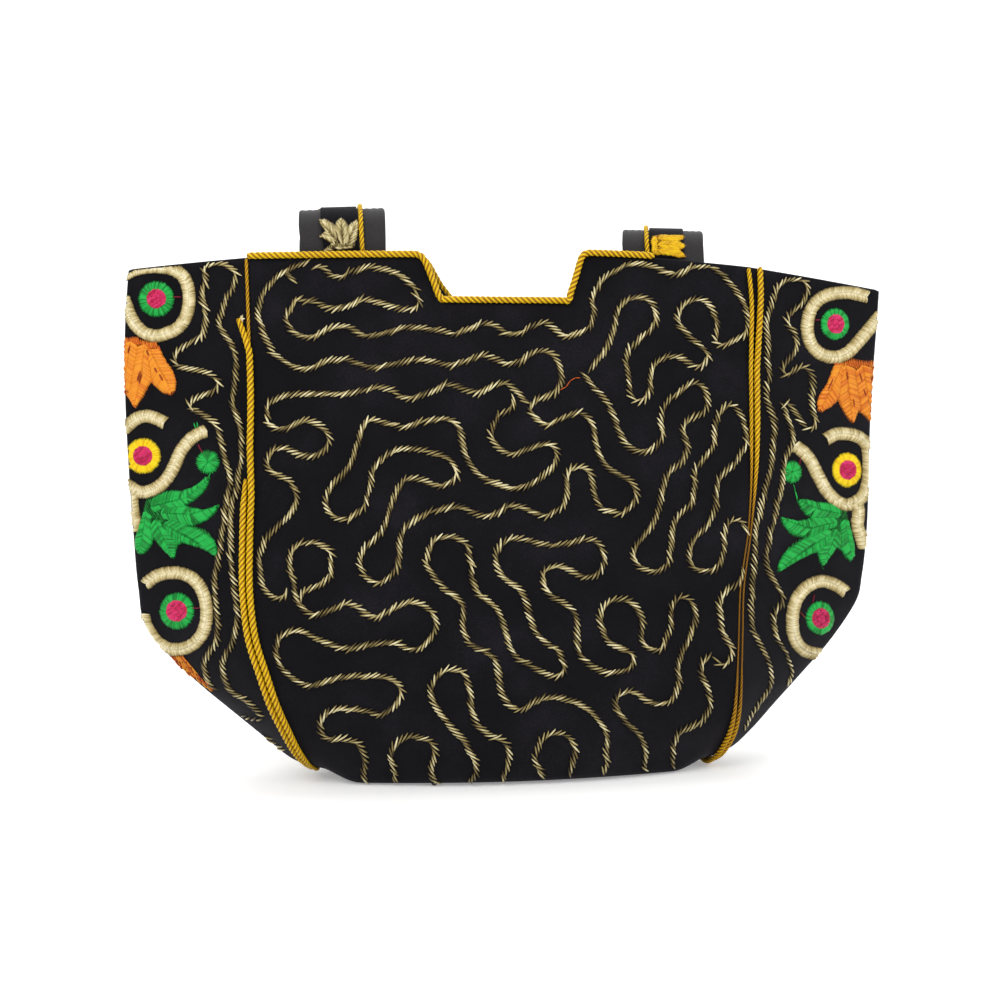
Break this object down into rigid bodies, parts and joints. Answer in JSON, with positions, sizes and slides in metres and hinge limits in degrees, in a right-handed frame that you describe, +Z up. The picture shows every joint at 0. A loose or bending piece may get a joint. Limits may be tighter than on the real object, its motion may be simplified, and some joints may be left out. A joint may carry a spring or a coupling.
{
  "type": "tote bag",
  "caption": "Open-topped black velvet tote bag with outward-folded side panels, notched mouth, laid gold thread runs, bright side motifs, yellow corded seams and strap handles",
  "frame": {"origin": "centre of the flat part of the base, at the level the bag stands on", "axes": "+X to the right seen from the front, -Y out of the embroidered front, +Z up"},
  "size_m": [0.4005, 0.1311, 0.2986],
  "materials": {
    "velvet": "black cotton velvet, short pile",
    "lining": "plain black cotton",
    "woven_strap": "dark grey-brown ribbed webbing",
    "yellow_cord": "twisted cotton cord",
    "gold_thread": "pale gold floss laid in short slanting stitches",
    "cream_thread": "cream floss, couched",
    "orange_thread": "orange floss, satin stitch",
    "green_thread": "green floss, satin stitch",
    "yellow_thread": "yellow floss, satin stitch",
    "magenta_thread": "magenta floss, satin stitch"
  },
  "bodies": {
    "root": {"body_panel": "velvet", "left_side_panel": "velvet", "right_side_panel": "velvet", "front_handle_ribbon": "velvet", "back_handle_ribbon": "velvet", "lining": "lining", "front_handle_strap": "woven_strap", "back_handle_strap": "woven_strap", "left_seam_cord_inner": "yellow_cord", "left_seam_cord_outer": "yellow_cord", "right_seam_cord_inner": "yellow_cord", "right_seam_cord_outer": "yellow_cord", "front_top_cord": "yellow_cord", "back_top_cord": "yellow_cord", "front_handle_cord": "yellow_cord", "back_handle_cord": "yellow_cord", "gold_run_outer": "gold_thread", "gold_run_chain": "gold_thread", "gold_run_third": "gold_thread", "gold_run_upper": "gold_thread", "gold_run_low_left": "gold_thread", "gold_run_right": "gold_thread", "gold_run_right_low": "gold_thread", "gold_run_right_foot": "gold_thread", "gold_run_middle": "gold_thread", "gold_run_foot_left": "gold_thread", "gold_run_foot_middle": "gold_thread", "gold_run_foot_right": "gold_thread", "gold_run_left_panel": "gold_thread", "gold_run_right_panel": "gold_thread", "gold_run_right_panel_low": "gold_thread", "left_cream_top": "cream_thread", "left_cream_middle": "cream_thread", "left_cream_curve": "cream_thread", "left_cream_low": "cream_thread", "right_cream_top": "cream_thread", "right_cream_middle": "cream_thread", "right_cream_tail": "cream_thread", "right_cream_low": "cream_thread", "left_orange_flower": "orange_thread", "left_orange_low": "orange_thread", "right_orange_flower": "orange_thread", "left_green_leaves": "green_thread", "right_green_leaves": "green_thread", "left_green_dot": "green_thread", "right_green_dot": "green_thread", "left_top_round": "green_thread", "left_low_round": "green_thread", "right_top_round": "green_thread", "right_low_round": "green_thread", "left_middle_round": "yellow_thread", "right_middle_round": "yellow_thread", "left_top_round_centre": "magenta_thread", "left_middle_round_centre": "magenta_thread", "left_low_round_centre": "magenta_thread", "right_top_round_centre": "magenta_thread", "right_middle_round_centre": "magenta_thread", "right_low_round_centre": "magenta_thread"}
  },
  "joints": []
}
